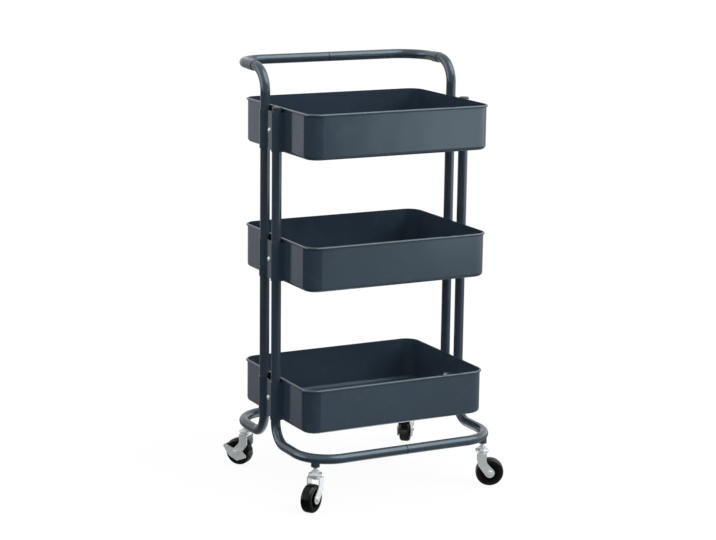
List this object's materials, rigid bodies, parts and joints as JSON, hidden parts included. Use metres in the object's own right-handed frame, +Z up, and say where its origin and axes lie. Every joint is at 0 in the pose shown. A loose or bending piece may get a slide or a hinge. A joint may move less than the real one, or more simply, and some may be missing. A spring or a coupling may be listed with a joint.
{
  "type": "utility cart",
  "caption": "Rolling utility cart: rimmed sheet-metal trays with mesh floors clamped to bent-tube posts, a push handle at the rear and swivel casters, the rear ones with brakes.",
  "frame": {"origin": "on the floor, under the middle of the cart", "axes": "+Z up, +X along the long side, +Y to the rear, where the handle is"},
  "size_m": [0.4617, 0.4058, 0.8598],
  "materials": {
    "frame_paint": "glossy blue-grey powder coat",
    "tray_paint": "glossy blue-grey powder coat",
    "zinc_plate": "bright zinc plate",
    "plain_steel": "plain",
    "black_plastic": "glossy",
    "wheel_core": "glossy",
    "wheel_tread": "semi-gloss"
  },
  "bodies": {
    "cart": {"front_frame_tube_left": "frame_paint", "front_frame_tube_right": "frame_paint", "rear_frame_tube_left": "frame_paint", "rear_frame_tube_right": "frame_paint", "handle_half_left": "frame_paint", "post_cap_left": "black_plastic", "handle_half_right": "frame_paint", "post_cap_right": "black_plastic", "front_bar_sleeve": "plain_steel", "rear_bar_sleeve": "plain_steel", "handle_sleeve": "plain_steel", "upper_tray": "tray_paint", "upper_mesh_floor": "tray_paint", "upper_clamp_left": "tray_paint", "upper_clamp_right": "tray_paint", "middle_tray": "tray_paint", "middle_mesh_floor": "tray_paint", "middle_clamp_left": "tray_paint", "middle_clamp_right": "tray_paint", "lower_tray": "tray_paint", "lower_mesh_floor": "tray_paint", "lower_clamp_left": "tray_paint", "lower_clamp_right": "tray_paint", "clamp_screws": "zinc_plate", "clamp_nuts": "zinc_plate", "caster_socket_front_left": "frame_paint", "caster_stem_front_left": "zinc_plate", "caster_socket_front_right": "frame_paint", "caster_stem_front_right": "zinc_plate", "caster_socket_rear_left": "frame_paint", "caster_stem_rear_left": "zinc_plate", "caster_socket_rear_right": "frame_paint", "caster_stem_rear_right": "zinc_plate"},
    "caster_front_left": {"caster_fork_front_left": "zinc_plate", "caster_axle_front_left": "zinc_plate"},
    "wheel_front_left": {"wheel_hub_front_left": "wheel_core", "wheel_tread_front_left": "wheel_tread"},
    "caster_front_right": {"caster_fork_front_right": "zinc_plate", "caster_axle_front_right": "zinc_plate"},
    "wheel_front_right": {"wheel_hub_front_right": "wheel_core", "wheel_tread_front_right": "wheel_tread"},
    "caster_rear_left": {"caster_fork_rear_left": "zinc_plate", "caster_axle_rear_left": "zinc_plate"},
    "wheel_rear_left": {"wheel_hub_rear_left": "wheel_core", "wheel_tread_rear_left": "wheel_tread"},
    "brake_rear_left": {"brake_lever_rear_left": "zinc_plate"},
    "caster_rear_right": {"caster_fork_rear_right": "zinc_plate", "caster_axle_rear_right": "zinc_plate"},
    "wheel_rear_right": {"wheel_hub_rear_right": "wheel_core", "wheel_tread_rear_right": "wheel_tread"},
    "brake_rear_right": {"brake_lever_rear_right": "zinc_plate"}
  },
  "joints": [
    {"name": "swivel_front_left", "type": "hinge", "parent": "cart", "child": "caster_front_left", "pos_m": [-0.1895, -0.1665, 0.071], "axis": [0, 0, 1], "continuous": true},
    {"name": "roll_front_left", "type": "hinge", "parent": "caster_front_left", "child": "wheel_front_left", "pos_m": [-0.2026, -0.17567, 0.0285], "axis": [0.5736, -0.8192, 0], "continuous": true},
    {"name": "swivel_front_right", "type": "hinge", "parent": "cart", "child": "caster_front_right", "pos_m": [0.1895, -0.1665, 0.071], "axis": [0, 0, 1], "continuous": true},
    {"name": "roll_front_right", "type": "hinge", "parent": "caster_front_right", "child": "wheel_front_right", "pos_m": [0.20363, -0.17401, 0.0285], "axis": [0.4695, 0.8829, 0], "continuous": true},
    {"name": "swivel_rear_left", "type": "hinge", "parent": "cart", "child": "caster_rear_left", "pos_m": [-0.1895, 0.16, 0.071], "axis": [0, 0, 1], "continuous": true},
    {"name": "roll_rear_left", "type": "hinge", "parent": "caster_rear_left", "child": "wheel_rear_left", "pos_m": [-0.19867, 0.1731, 0.0285], "axis": [-0.8192, -0.5736, 0], "continuous": true},
    {"name": "brake_tilt_rear_left", "type": "hinge", "parent": "caster_rear_left", "child": "brake_rear_left", "pos_m": [-0.19867, 0.1731, 0.0285], "axis": [-0.8192, -0.5736, 0], "range_deg": [0, 22]},
    {"name": "swivel_rear_right", "type": "hinge", "parent": "cart", "child": "caster_rear_right", "pos_m": [0.1895, 0.16, 0.071], "axis": [0, 0, 1], "continuous": true},
    {"name": "roll_rear_right", "type": "hinge", "parent": "caster_rear_right", "child": "wheel_rear_right", "pos_m": [0.1989, 0.17294, 0.0285], "axis": [-0.809, 0.5878, 0], "continuous": true},
    {"name": "brake_tilt_rear_right", "type": "hinge", "parent": "caster_rear_right", "child": "brake_rear_right", "pos_m": [0.1989, 0.17294, 0.0285], "axis": [-0.809, 0.5878, 0], "range_deg": [0, 22]}
  ]
}
